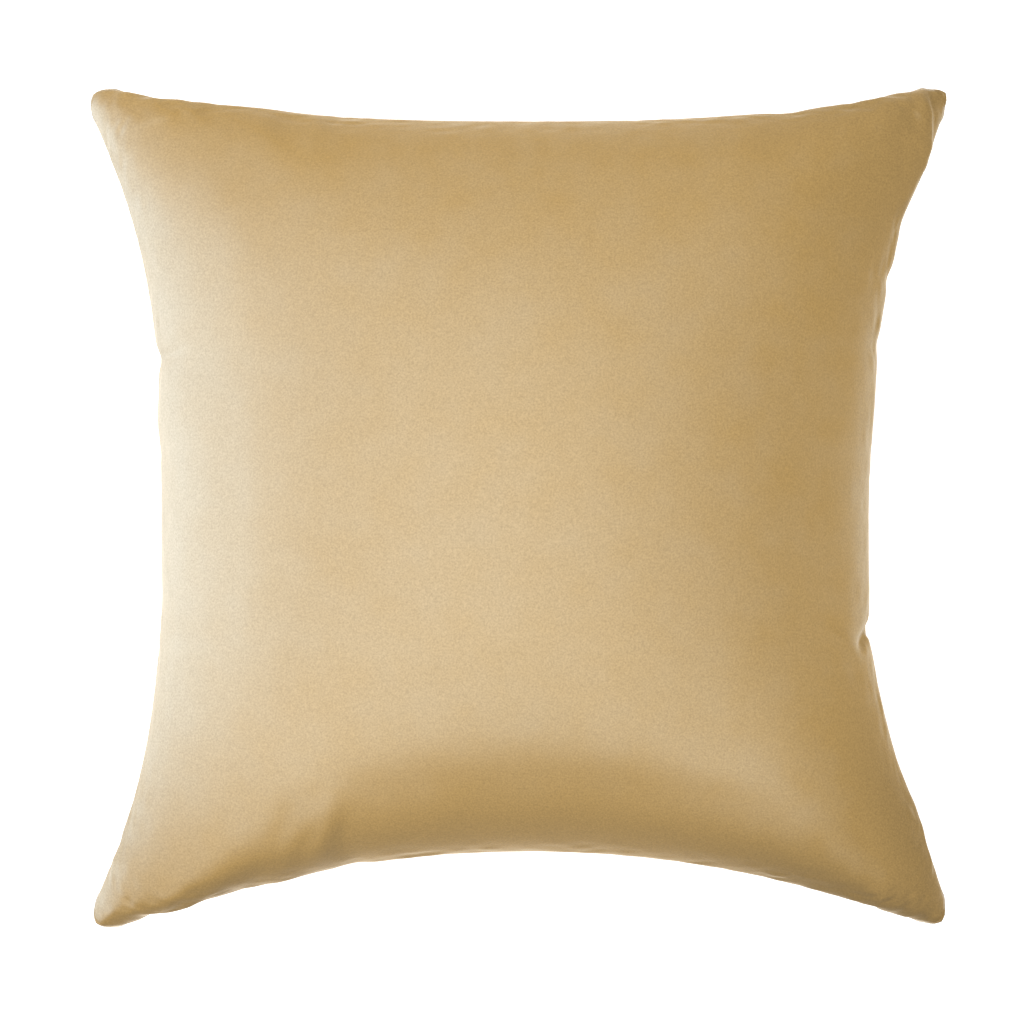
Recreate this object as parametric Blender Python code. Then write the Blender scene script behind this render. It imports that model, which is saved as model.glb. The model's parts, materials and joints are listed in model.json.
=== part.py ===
"""A square velvet throw pillow, lying on its back panel. Metres, +Z up, +Y towards its top edge.

The cover is a front and a back panel, sewn edge to edge. The bottom seam holds a coil zip, and
that edge is a circular arc, so the zip's slider turns about the arc's centre. Inside lies the
insert: two cotton panels round a fibre fill.
"""

import math

import bmesh
import bpy
from mathutils import Matrix, Vector

# overall sizes
WIDTH = 0.500  # left tips to right tips
HEIGHT = 0.492  # bottom tips to top tips
SEAM_HEIGHT = 0.083  # floor to the plane of the seam
FRONT_LOFT = 0.095  # plane of the seam to the crown of the front
BACK_LOFT = 0.094  # depth of the back, had the floor not flattened it

# outline: how far the middle of each side pulls in from the line through its tips
PULL_BOTTOM = 0.0450
PULL_TOP = 0.0200
PULL_LEFT = 0.0430
PULL_RIGHT = 0.0460
TIP_RADIUS = 0.011

# edge of the cover, in the middle of a side and at a tip
COVER_THICKNESS = 0.0015
LIP_THICKNESS = 0.0018  # velvet folded in at the seam
GROOVE_DEPTH = 0.0050  # the filled panels bulge out past the seam by this much
LIP_HEIGHT = 0.0040  # the flat strip beside the seam
BULGE_HEIGHT = 0.0140  # seam plane to the widest point of a panel
TIP_ROLL = 0.0026  # half the thickness of a tip
FLARE_LENGTH = 0.050  # the groove fades out over this length before a tip
SEAM_GAP = 0.0003  # between the two panels

# insert
INSERT_CLEARANCE = 0.0110  # zip side of the seam to the insert
INSERT_TIP_RADIUS = 0.012
INSERT_EASE = 0.0015  # cover to insert at the crown
COTTON_THICKNESS = 0.0008
FILL_EASE = 0.0004
INSERT_EDGE = 0.0050
INSERT_TIP_ROLL = 0.0016

# zip
ZIP_END_MARGIN = 0.055  # end of the zip to the end of the seam's arc
ZIP_SLIT = 0.0032  # opening between the two lips
COIL_DEPTH = 0.0046  # seam to the middle of the coil
COIL_WIDTH = 0.0018
COIL_THICKNESS = 0.0016
COIL_SPLIT = 0.0011  # between the two coils, for the slider's post
TAPE_WIDTH = 0.0080
TAPE_THICKNESS = 0.0005
ZIP_CLEARANCE = 0.0003
STOP_LENGTH = 0.0025
SLIDER_LENGTH = 0.0090
SLIDER_WIDTH = 0.0075
SLIDER_PLATE = 0.0011
POST_LENGTH = 0.0030
POST_WIDTH = 0.0005
BRIDGE_WIDTH = 0.0018
BRIDGE_BAR = 0.0010
BRIDGE_OPENING = 0.0034
PIVOT_HEIGHT = 0.0013  # seam to the tab's pivot, outside the lips
TAB_LENGTH = 0.0220
TAB_WIDTH = 0.0050
TAB_THICKNESS = 0.0010
TAB_WINDOW = 0.0044  # pivot to the far end of the tab's window
TAB_RAIL = 0.0010

# labels, blank
LABEL_LENGTH = 0.030
LABEL_WIDTH = 0.018
LABEL_THICKNESS = 0.0004
CARE_LABEL_PLACE = -0.060  # along the bottom seam from its middle
LABEL_INSET = 0.0060  # seam to the insert's label

# fineness of the meshes
ZIP_STEPS = 6  # cells in half of the zip's length
COVER_ROWS = 10  # cells in half of the height
END_SHARES = (0.33, 0.62, 0.83, 0.95, 1.0)  # nodes from the zip's end to the tip
INSERT_ROWS = 6
ARC_STEPS = 30


# ---------------------------------------------------------------- outline

def smooth(t):
    t = min(max(t, 0.0), 1.0)
    return t * t * (3.0 - 2.0 * t)


def lerp(a, b, t):
    return a + (b - a) * t


# each side's neighbour at its far end, the end with the higher X or Y, and at its near end
NEIGHBOURS = {
    "bottom": ("right", "left"),
    "top": ("right", "left"),
    "left": ("top", "bottom"),
    "right": ("top", "bottom"),
}


class Outline:
    """The plan of one skin: four sides, arcs that pull in, joined by the round arcs of four tips."""

    def __init__(self, half_width, half_height, pulls, tip_radius, columns, rows):
        self.half_width, self.half_height = half_width, half_height
        self.pulls, self.tip_radius = pulls, tip_radius
        self.columns, self.rows = columns, rows

    def run(self, side):
        """Half the side's length along X or Y, from its middle to the centre of a tip."""
        half = self.half_width if side in ("bottom", "top") else self.half_height
        return half - self.tip_radius

    def radius(self, side):
        """Radius of the side's arc, which touches the circles of both its tips."""
        pull, run = self.pulls[side], self.run(side)
        return (run ** 2 + pull ** 2) / (2 * pull) - self.tip_radius

    def sweep(self, side):
        """Angle from the middle of the side's arc to where a tip takes over."""
        return math.asin(self.run(side) / (self.radius(side) + self.tip_radius))

    def tip_sweep(self, side, t):
        """Angle of the half of a tip that belongs to this side."""
        neighbour = NEIGHBOURS[side][0 if t > 0 else 1]
        return (math.pi / 2 + self.sweep(side) + self.sweep(neighbour)) / 2

    def half_length(self, side, t):
        arc = self.radius(side) * self.sweep(side)
        return arc + self.tip_radius * self.tip_sweep(side, t)

    def point(self, side, t):
        """A point of a side, t from -1 to 1 by length, from the middle of one tip to the next."""
        radius, sweep = self.radius(side), self.sweep(side)
        sign = 1 if t > 0 else -1
        length = abs(t) * self.half_length(side, t)
        if length <= radius * sweep:
            angle = length / radius
            along = radius * math.sin(angle)
            inward = self.pulls[side] - radius + radius * math.cos(angle)
        else:
            angle = sweep - (length - radius * sweep) / self.tip_radius
            along = self.run(side) - self.tip_radius * math.sin(angle)
            inward = self.tip_radius - self.tip_radius * math.cos(angle)
        return self.placed(side, sign * along, inward)

    def placed(self, side, along, inward):
        return {
            "bottom": Vector((along, inward - self.half_height)),
            "top": Vector((along, self.half_height - inward)),
            "left": Vector((inward - self.half_width, along)),
            "right": Vector((self.half_width - inward, along)),
        }[side]

    def loop(self):
        """Border points, anticlockwise from the bottom left tip."""
        points = [self.point("bottom", u) for u in self.columns[:-1]]
        points += [self.point("right", v) for v in self.rows[:-1]]
        points += [self.point("top", u) for u in reversed(self.columns[1:])]
        points += [self.point("left", v) for v in reversed(self.rows[1:])]
        return points


def mirrored(shares):
    """Node positions from -1 to 1 from those of the upper half, which start at 0."""
    return [-s for s in reversed(shares[1:])] + list(shares)


def even_turns(count):
    """Nodes that crowd towards the ends, count of them in each half."""
    return mirrored([math.sin(math.pi / 2 * i / count) for i in range(count + 1)])


def cover_outline():
    """The cover's outline, with a node at each end of the zip."""
    pulls = {"bottom": PULL_BOTTOM, "top": PULL_TOP, "left": PULL_LEFT, "right": PULL_RIGHT}
    rows = even_turns(COVER_ROWS)
    outline = Outline(WIDTH / 2, HEIGHT / 2, pulls, TIP_RADIUS, rows, rows)
    arc = outline.radius("bottom") * outline.sweep("bottom")
    end = (arc - ZIP_END_MARGIN) / outline.half_length("bottom", 1)
    inner = [end * i / ZIP_STEPS for i in range(ZIP_STEPS + 1)]
    outline.columns = mirrored(inner + [lerp(end, 1.0, share) for share in END_SHARES])
    return outline


def tip_inset(cover, depth):
    """How far the insert's tips lie inside the cover's, along X and along Y.

    The insert's bottom arc shares the centre of the cover's. With the tip's circle touching it,
    the centres' distances give a quadratic equation for the inset.
    """
    reach = cover.radius("bottom") + depth + INSERT_TIP_RADIUS
    along = cover.half_width - INSERT_TIP_RADIUS
    across = reach - cover.pulls["bottom"] - depth
    half = (across - along) / 2
    return math.sqrt(half ** 2 - (along ** 2 + across ** 2 - reach ** 2) / 2) - half


def insert_outline(cover):
    """The insert's outline, the same distance inside the cover's seam at the middle of each side."""
    depth = GROOVE_DEPTH + INSERT_CLEARANCE
    inset = tip_inset(cover, depth)
    return Outline(
        cover.half_width - inset,
        cover.half_height - inset,
        {side: pull + depth - inset for side, pull in cover.pulls.items()},
        INSERT_TIP_RADIUS,
        even_turns(INSERT_ROWS),
        even_turns(INSERT_ROWS),
    )


COVER_OUTLINE = cover_outline()
INSERT_OUTLINE = insert_outline(COVER_OUTLINE)

# the arc of the bottom seam, and the half length of the zip along it
BOTTOM_RADIUS = COVER_OUTLINE.radius("bottom")
SEAM_RADIUS = BOTTOM_RADIUS + GROOVE_DEPTH
ARC_CENTRE = Vector((0.0, PULL_BOTTOM - HEIGHT / 2 - BOTTOM_RADIUS, SEAM_HEIGHT))
ZIP_SWEEP = COVER_OUTLINE.sweep("bottom") - ZIP_END_MARGIN / BOTTOM_RADIUS
ZIP_HALF = SEAM_RADIUS * ZIP_SWEEP


# ---------------------------------------------------------------- skins

class Skin:
    """One face of a layer: its outline, its rings from border to seam, and its height."""

    def __init__(self, outline, border, rings, crown, lowest, drop=0.0):
        self.outline, self.border, self.rings = outline, border, rings
        self.crown, self.lowest, self.drop = crown, lowest, drop


def fullness(outline, index):
    """1 along a side, falling to 0 at its tips."""
    loop = outline.loop()
    count = len(outline.columns) - 1, len(outline.rows) - 1
    tips = [0, count[0], count[0] + count[1], 2 * count[0] + count[1]]
    distance = min((loop[index] - loop[tip]).length for tip in tips)
    return smooth(distance / FLARE_LENGTH)


def ring(skin, section, seam_opening=None):
    """A ring of points set in from the outline by a section's (inset, height) at mid side and tip."""
    loop = skin.outline.loop()
    points = []
    for i, place in enumerate(loop):
        along = (loop[(i + 1) % len(loop)] - loop[i - 1]).normalized()
        inward = Vector((-along.y, along.x))
        full = fullness(skin.outline, i)
        (mid_inset, mid_height), (tip_inset, tip_height) = section
        height = lerp(tip_height, mid_height, full)
        if seam_opening and height < seam_opening / 2 and over_zip(skin.outline, i):
            height = seam_opening / 2
        points.append((place + inward * lerp(tip_inset, mid_inset, full), height))
    return points


def over_zip(outline, index):
    """Whether a border point lies beside the zip: its nodes are the middle ones of the bottom side."""
    last = len(outline.columns) - 1
    return len(END_SHARES) <= index <= last - len(END_SHARES)


def patch(sides, i, j, columns, rows):
    """A Coons patch: blends the four border rows, of points or of heights."""
    bottom, right, top, left = sides
    a, b = (1 + columns[i]) / 2, (1 + rows[j]) / 2
    across = bottom[i] * (1 - b) + top[i] * b + left[j] * (1 - a) + right[j] * a
    corners = (bottom[0] * (1 - a) + bottom[-1] * a) * (1 - b) + (top[0] * (1 - a) + top[-1] * a) * b
    return across - corners


def border_sides(values, outline):
    m, n = len(outline.columns) - 1, len(outline.rows) - 1
    bottom = values[0 : m + 1]
    right = values[m : m + n + 1]
    top = list(reversed(values[m + n : 2 * m + n + 1]))
    left = list(reversed(values[2 * m + n :] + values[:1]))
    return bottom, right, top, left


def swell(u, v):
    return math.sqrt(max((1 - u * u) * (1 - v * v), 0.0))


def grid(skin):
    """Rows of (plan point, height above the seam plane); the border row is the skin's border ring."""
    border = ring(skin, skin.border)
    outline = skin.outline
    places = border_sides([p for p, _ in border], outline)
    heights = border_sides([h for _, h in border], outline)
    columns, rows = outline.columns, outline.rows
    middle = patch(heights, len(columns) // 2, len(rows) // 2, columns, rows)
    table = []
    for j, v in enumerate(rows):
        line = []
        for i, u in enumerate(columns):
            place = patch(places, i, j, columns, rows)
            height = patch(heights, i, j, columns, rows) + (skin.crown - middle) * swell(u, v)
            inside = 0 < i < len(columns) - 1 and 0 < j < len(rows) - 1
            line.append((place, min(height, skin.lowest) - (skin.drop if inside else 0.0)))
        table.append(line)
    return table


def add_skin(bm, skin, side, seam_opening=None):
    """Adds a skin's faces on side +1 (front) or -1 (back) and returns its seam loop of vertices."""

    def vertex(place, height):
        return bm.verts.new((place.x, place.y, SEAM_HEIGHT + side * height))

    table = [[vertex(*node) for node in line] for line in grid(skin)]
    for j in range(len(table) - 1):
        for i in range(len(table[0]) - 1):
            bm.faces.new((table[j][i], table[j][i + 1], table[j + 1][i + 1], table[j + 1][i]))
    bottom, right, top, left = (
        table[0][:-1],
        [line[-1] for line in table[:-1]],
        list(reversed(table[-1][1:])),
        [line[0] for line in reversed(table[1:])],
    )
    outer = bottom + right + top + left
    for section in skin.rings:
        inner = [vertex(*node) for node in ring(skin, section, seam_opening)]
        add_band(bm, outer, inner)
        outer = inner
    return outer


def add_band(bm, first, second):
    for i in range(len(first)):
        j = (i + 1) % len(first)
        bm.faces.new((first[i], first[j], second[j], second[i]))


# ---------------------------------------------------------------- objects

def material(name, colour, roughness, metallic=0.0):
    found = bpy.data.materials.get(name)
    if found:
        return found
    made = bpy.data.materials.new(name)
    made.use_nodes = True
    shader = made.node_tree.nodes["Principled BSDF"]
    shader.inputs["Base Color"].default_value = (*colour, 1.0)
    shader.inputs["Roughness"].default_value = roughness
    shader.inputs["Metallic"].default_value = metallic
    return made


def velvet():
    return material("velvet", (0.58, 0.40, 0.18), 0.85)


def cotton():
    return material("cotton", (0.84, 0.82, 0.77), 0.9)


def zip_cloth():
    return material("zip_cloth", (0.50, 0.36, 0.17), 0.85)


def zip_nylon():
    return material("zip_nylon", (0.46, 0.33, 0.15), 0.45)


def zip_metal():
    return material("zip_metal", (0.62, 0.47, 0.24), 0.35, 1.0)


def satin():
    return material("satin", (0.88, 0.88, 0.85), 0.6)


def finish(bm, name, made_of, smooth_angle=None):
    bmesh.ops.recalc_face_normals(bm, faces=bm.faces[:])
    bmesh.ops.triangulate(bm, faces=[f for f in bm.faces if len(f.verts) > 3])
    mesh = bpy.data.meshes.new(name)
    bm.to_mesh(mesh)
    bm.free()
    mesh.materials.append(made_of)
    if smooth_angle is not None:
        mesh.shade_smooth()
        mesh.set_sharp_from_angle(angle=smooth_angle)
    made = bpy.data.objects.new(name, mesh)
    bpy.context.scene.collection.objects.link(made)
    return made


def panel(name, outer, inner, side, made_of, seam_opening=None):
    """A sewn panel: an outer and an inner skin joined along the seam."""
    bm = bmesh.new()
    first = add_skin(bm, outer, side, seam_opening)
    second = add_skin(bm, inner, side, seam_opening)
    add_band(bm, first, second)
    return finish(bm, name, made_of, math.radians(50))


def cover_outer(loft, lowest):
    groove = GROOVE_DEPTH
    return Skin(
        COVER_OUTLINE,
        ((0.0, BULGE_HEIGHT), (0.0, TIP_ROLL)),
        [
            ((0.3 * groove, lerp(LIP_HEIGHT, BULGE_HEIGHT, 0.4)), (0.0002, 0.73 * TIP_ROLL)),
            ((groove, LIP_HEIGHT), (0.0006, 0.38 * TIP_ROLL)),
            ((groove, SEAM_GAP / 2), (0.0008, SEAM_GAP / 2)),
        ],
        loft,
        lowest,
    )


def cover_inner(loft, lowest):
    wall, lip = COVER_THICKNESS, GROOVE_DEPTH + LIP_THICKNESS
    return Skin(
        COVER_OUTLINE,
        ((wall, BULGE_HEIGHT + 0.2 * wall), (1.2 * wall, 0.46 * TIP_ROLL)),
        [
            (
                (0.3 * GROOVE_DEPTH + 0.85 * wall, lerp(LIP_HEIGHT, BULGE_HEIGHT, 0.4) + 0.5 * wall),
                (1.3 * wall, 0.35 * TIP_ROLL),
            ),
            ((lip, LIP_HEIGHT + 0.1 * wall), (1.4 * wall, 0.2 * TIP_ROLL)),
            ((lip, SEAM_GAP / 2), (1.5 * wall, SEAM_GAP / 2)),
        ],
        loft,
        lowest,
        drop=wall,
    )


def cover_panels():
    for name, side, loft, lowest in (
        ("cover_front_panel", 1, FRONT_LOFT, FRONT_LOFT),
        ("cover_back_panel", -1, BACK_LOFT, SEAM_HEIGHT),
    ):
        panel(name, cover_outer(loft, lowest), cover_inner(loft, lowest), side, velvet(), ZIP_SLIT)


def insert_skin(loft, lowest, depth, set_in):
    """A skin of the insert, depth inside its outer face and set in by the same at its edge."""
    edge = (set_in, INSERT_EDGE - depth), (set_in, INSERT_TIP_ROLL - depth)
    seam = (set_in + INSERT_TIP_ROLL / 2, SEAM_GAP / 2)
    return Skin(INSERT_OUTLINE, edge, [(seam, seam)], loft, lowest, drop=depth)


def insert_panels():
    inside = COVER_THICKNESS + INSERT_EASE
    for name, side, loft, lowest in (
        ("insert_front_panel", 1, FRONT_LOFT, FRONT_LOFT),
        ("insert_back_panel", -1, BACK_LOFT, SEAM_HEIGHT),
    ):
        outer = insert_skin(loft - inside, lowest - inside, 0.0, 0.0)
        inner = insert_skin(loft - inside, lowest - inside, COTTON_THICKNESS, 1.5 * COTTON_THICKNESS)
        panel(name, outer, inner, side, cotton())


def insert_fill():
    inside = COVER_THICKNESS + INSERT_EASE
    depth = COTTON_THICKNESS + FILL_EASE
    bm = bmesh.new()
    loops = []
    for side, loft, lowest in ((1, FRONT_LOFT, FRONT_LOFT), (-1, BACK_LOFT, SEAM_HEIGHT)):
        skin = insert_skin(loft - inside, lowest - inside, depth, 3.0 * COTTON_THICKNESS)
        skin.rings = []
        loops.append(add_skin(bm, skin, side))
    add_band(bm, loops[0], loops[1])
    return finish(bm, "insert_fill", cotton(), math.radians(50))


# ---------------------------------------------------------------- zip

def on_arc(depth, height, along):
    """A point at a depth inside the seam, a height over its plane and a length along it."""
    angle = along / SEAM_RADIUS
    radius = SEAM_RADIUS + depth
    x, y = radius * math.sin(angle), radius * math.cos(angle)
    return ARC_CENTRE + Vector((x, y, height))


def arc_bar(name, depths, heights, lengths, made_of, bevel=0.0):
    """A bar of rectangular section, spun along the seam's arc."""
    bm = bmesh.new()
    corners = [(depths[0], heights[0]), (depths[1], heights[0])]
    corners += [(depths[1], heights[1]), (depths[0], heights[1])]
    face = bm.faces.new([bm.verts.new(on_arc(d, h, lengths[0])) for d, h in corners])
    if bevel:
        face_geometry = list(face.verts)
        bmesh.ops.bevel(bm, geom=face_geometry, offset=bevel, segments=1, affect="VERTICES")
    length = lengths[1] - lengths[0]
    steps = max(2, round(ARC_STEPS * length / (2 * ZIP_HALF)))
    start = bm.faces[:]
    bmesh.ops.spin(
        bm,
        geom=start + bm.edges[:] + bm.verts[:],
        cent=ARC_CENTRE,
        axis=(0, 0, -1),
        angle=length / SEAM_RADIUS,
        steps=steps,
        use_duplicate=False,
    )
    close_ends(bm)
    return finish(bm, name, made_of, math.radians(30))


def close_ends(bm):
    """Fills each open end of a spun bar with a face."""
    open_edges = [e for e in bm.edges if len(e.link_faces) == 1]
    if open_edges:
        bmesh.ops.holes_fill(bm, edges=open_edges, sides=0)


def zip_chain():
    half_split = COIL_SPLIT / 2
    outer = half_split + COIL_WIDTH
    coil = COIL_DEPTH - COIL_THICKNESS / 2, COIL_DEPTH + COIL_THICKNESS / 2
    tape = COIL_DEPTH - TAPE_THICKNESS / 2, COIL_DEPTH + TAPE_THICKNESS / 2
    ends = ZIP_HALF - STOP_LENGTH - ZIP_CLEARANCE
    for name, side in (("upper", 1), ("lower", -1)):
        heights = sorted((side * half_split, side * outer))
        arc_bar(f"zip_coil_{name}", coil, heights, (-ends, ends), zip_nylon(), COIL_WIDTH / 4)
        edge = outer + ZIP_CLEARANCE
        heights = sorted((side * edge, side * (edge + TAPE_WIDTH)))
        arc_bar(f"zip_tape_{name}", tape, heights, (-ZIP_HALF, ZIP_HALF), zip_cloth())
        heights = sorted((side * half_split, side * outer))
        arc_bar(f"zip_top_stop_{name}", coil, heights, (-ZIP_HALF, STOP_LENGTH - ZIP_HALF), zip_metal())
    arc_bar(
        "zip_bottom_stop", coil, (-outer, outer), (ZIP_HALF - STOP_LENGTH, ZIP_HALF), zip_metal()
    )


def box(name, low, high, made_of, bevel=0.0):
    """A box between two corners in the frame of its parent."""
    bm = bmesh.new()
    bmesh.ops.create_cube(bm, size=1.0)
    size = [b - a for a, b in zip(low, high)]
    middle = [(a + b) / 2 for a, b in zip(low, high)]
    bmesh.ops.scale(bm, vec=size, verts=bm.verts[:])
    bmesh.ops.translate(bm, vec=middle, verts=bm.verts[:])
    if bevel:
        upright = [e for e in bm.edges if abs((e.verts[0].co - e.verts[1].co).normalized().y) > 0.9]
        bmesh.ops.bevel(bm, geom=upright, offset=bevel, segments=2, affect="EDGES")
    return finish(bm, name, made_of, math.radians(35))


def guide(thing):
    thing.hide_render = True
    thing.display_type = "WIRE"
    return thing


def combine(thing, other, operation):
    change = thing.modifiers.new(other.name, "BOOLEAN")
    change.operation = operation
    change.solver = "EXACT"
    change.object = guide(other)


def pivot(name, place, turn):
    empty = bpy.data.objects.new(name, None)
    empty.empty_display_size = 0.01
    empty.matrix_world = Matrix.Translation(place) @ Matrix.Rotation(turn, 4, "Z")
    bpy.context.scene.collection.objects.link(empty)
    return empty


def hold(thing, parent, offset=Vector()):
    thing.parent = parent
    thing.location = offset


def slider_start():
    """Distance from the middle of the seam to the middle of the slider when the zip is closed."""
    return ZIP_HALF - STOP_LENGTH - ZIP_CLEARANCE - SLIDER_LENGTH / 2


def zip_slider(axis):
    """Two plates and a post between them, with a bridge for the tab. +Y is into the pillow."""
    coil_face = COIL_THICKNESS / 2 + ZIP_CLEARANCE
    seat = Vector((0, SEAM_RADIUS, 0))
    half_length, half_width = SLIDER_LENGTH / 2, SLIDER_WIDTH / 2
    front = COIL_DEPTH - coil_face
    back = COIL_DEPTH + coil_face
    plate = box(
        "zip_slider",
        (-half_length, front - SLIDER_PLATE, -half_width),
        (half_length, front, half_width),
        zip_metal(),
        bevel=SLIDER_WIDTH / 4,
    )
    inner_plate = box(
        "slider_inner_plate_shape",
        (-half_length, back, -half_width),
        (half_length, back + SLIDER_PLATE, half_width),
        zip_metal(),
        bevel=SLIDER_WIDTH / 4,
    )
    sunk = SLIDER_PLATE / 2
    post = box(
        "slider_post_shape",
        (-POST_LENGTH / 2, front - sunk, -POST_WIDTH / 2),
        (POST_LENGTH / 2, back + sunk, POST_WIDTH / 2),
        zip_metal(),
    )
    reach = BRIDGE_OPENING / 2 + BRIDGE_BAR
    top = -PIVOT_HEIGHT - TAB_THICKNESS / 2 - ZIP_CLEARANCE
    bridge = box(
        "slider_bridge_shape",
        (-reach, top - BRIDGE_BAR, -BRIDGE_WIDTH / 2),
        (reach, front - sunk, BRIDGE_WIDTH / 2),
        zip_metal(),
    )
    eye = box(
        "slider_eye_shape",
        (-BRIDGE_OPENING / 2, top, -BRIDGE_WIDTH),
        (BRIDGE_OPENING / 2, front - SLIDER_PLATE - ZIP_CLEARANCE, BRIDGE_WIDTH),
        zip_metal(),
    )
    combine(bridge, eye, "DIFFERENCE")
    for shape in (inner_plate, post, bridge):
        combine(plate, shape, "UNION")
    for thing in (plate, inner_plate, post, bridge, eye):
        hold(thing, axis, seat)
    return plate


def zip_pull_tab(axis):
    """A flat tab with a window; the bar at its end passes through the slider's bridge."""
    half_width, half = TAB_WIDTH / 2, TAB_THICKNESS / 2
    tab = box(
        "zip_pull_tab",
        (-half, -half, -half_width),
        (TAB_LENGTH, half, half_width),
        zip_metal(),
        bevel=0.6 * TAB_RAIL,
    )
    window = box(
        "tab_window_shape",
        (half, -2 * half, TAB_RAIL - half_width),
        (TAB_WINDOW, 2 * half, half_width - TAB_RAIL),
        zip_metal(),
    )
    combine(tab, window, "DIFFERENCE")
    hold(tab, axis)
    hold(window, axis)
    return tab


def moving_parts():
    start = -slider_start() / SEAM_RADIUS
    slide_axis = pivot("zip_slide_axis", ARC_CENTRE, -start)
    zip_slider(slide_axis)
    place = on_arc(-PIVOT_HEIGHT, 0.0, -slider_start())
    tab_axis = pivot("zip_tab_axis", place, -start)
    zip_pull_tab(tab_axis)


# ---------------------------------------------------------------- labels

def labels():
    slider_back = COIL_DEPTH + COIL_THICKNESS / 2 + ZIP_CLEARANCE + SLIDER_PLATE
    depth = slider_back + 2 * ZIP_CLEARANCE
    half = LABEL_WIDTH / 2
    arc_bar(
        "cover_care_label",
        (depth, depth + LABEL_THICKNESS),
        (-half, half),
        (CARE_LABEL_PLACE, CARE_LABEL_PLACE + LABEL_LENGTH),
        satin(),
    )
    x = WIDTH / 2 - PULL_RIGHT - GROOVE_DEPTH - LABEL_INSET
    box(
        "insert_care_label",
        (x - LABEL_THICKNESS, -LABEL_LENGTH / 2, SEAM_HEIGHT - half),
        (x, LABEL_LENGTH / 2, SEAM_HEIGHT + half),
        satin(),
    )


def clear_scene():
    for thing in list(bpy.data.objects):
        bpy.data.objects.remove(thing, do_unlink=True)


def main():
    clear_scene()
    cover_panels()
    insert_panels()
    insert_fill()
    zip_chain()
    moving_parts()
    labels()


main()
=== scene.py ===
# %% [markdown]
# # A square velvet throw pillow
#
# The real thing is two velvet panels sewn edge to edge, with a zip in the bottom seam and a
# stuffed cotton insert inside. Nothing in it is hard except the zip, so its whole shape comes
# from cloth that holds back a filling.
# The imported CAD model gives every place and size. Its zip and its labels are kept and get better
# finishes. Its plain velvet, cotton and fibre solids are replaced by soft shapes, which begin as
# domed grids, are filled by Cloth, and are then shaped by plain vertex moves.

import json
import math

import bmesh
import bpy
import numpy as np
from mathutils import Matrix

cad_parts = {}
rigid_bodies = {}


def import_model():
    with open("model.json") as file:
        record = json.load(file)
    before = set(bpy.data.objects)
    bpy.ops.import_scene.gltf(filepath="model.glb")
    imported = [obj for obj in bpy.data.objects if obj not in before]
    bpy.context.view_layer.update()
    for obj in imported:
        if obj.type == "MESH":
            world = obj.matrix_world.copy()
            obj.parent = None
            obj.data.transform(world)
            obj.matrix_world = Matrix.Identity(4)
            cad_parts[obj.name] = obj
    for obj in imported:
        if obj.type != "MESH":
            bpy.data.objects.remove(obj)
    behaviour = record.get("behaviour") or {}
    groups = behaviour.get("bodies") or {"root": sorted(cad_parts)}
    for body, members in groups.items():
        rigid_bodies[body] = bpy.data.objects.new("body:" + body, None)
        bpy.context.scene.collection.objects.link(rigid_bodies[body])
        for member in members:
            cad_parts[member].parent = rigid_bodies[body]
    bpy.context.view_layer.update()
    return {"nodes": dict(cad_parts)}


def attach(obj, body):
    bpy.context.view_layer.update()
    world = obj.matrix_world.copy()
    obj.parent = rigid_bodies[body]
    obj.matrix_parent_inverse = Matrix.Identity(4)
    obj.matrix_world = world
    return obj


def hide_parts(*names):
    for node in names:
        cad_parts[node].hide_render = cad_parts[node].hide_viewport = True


for leftover in list(bpy.data.objects):
    bpy.data.objects.remove(leftover)
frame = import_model()
nodes = frame["nodes"]

# %% [markdown]
# ## Sizes
#
# The seam's plane, the arc of the bottom seam and the length of the zip repeat the CAD's own
# numbers, because the zip has to lie in its seam. All sizes are in metres, unless a comment
# says millimetres.

# %% Sizes of the cover
SEAM_PLANE = 0.083
HALF_WIDTH = 0.2498
HALF_HEIGHT = 0.2456
FRONT_LOFT = 0.095
BACK_LOFT = 0.094
SEAM_ARC_RADIUS = 0.6511778
SEAM_ARC_Y = -0.847178
ZIP_HALF_ANGLE = 0.2871
ZIP_END = SEAM_ARC_RADIUS * math.sin(ZIP_HALF_ANGLE)
ZIP_REACH = ZIP_END + 0.020  # the pull tab lies this far past the zip's end when it is closed
ZIP_SLIT = 0.0032
TIP_RADII = {"bottom": 0.0085, "right": 0.0062, "top": 0.0095, "left": 0.0090}
STRAIGHT_FROM = 0.203  # a side runs straight from this far out of its middle
print("the zip reaches", round(1000 * ZIP_END, 1), "mm to each side of the middle")

# %% [markdown]
# ## The outline
#
# A filled cover pulls in between its corners, because the cloth spends its length on going
# over the filling. Each side could be a plain arc, but real ones are flatter in the middle and
# turn faster near the tips, so each follows a power curve of its own, with the small dips
# that hand sewing leaves, and runs straight into its tips. A circle rounds each tip.

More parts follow.
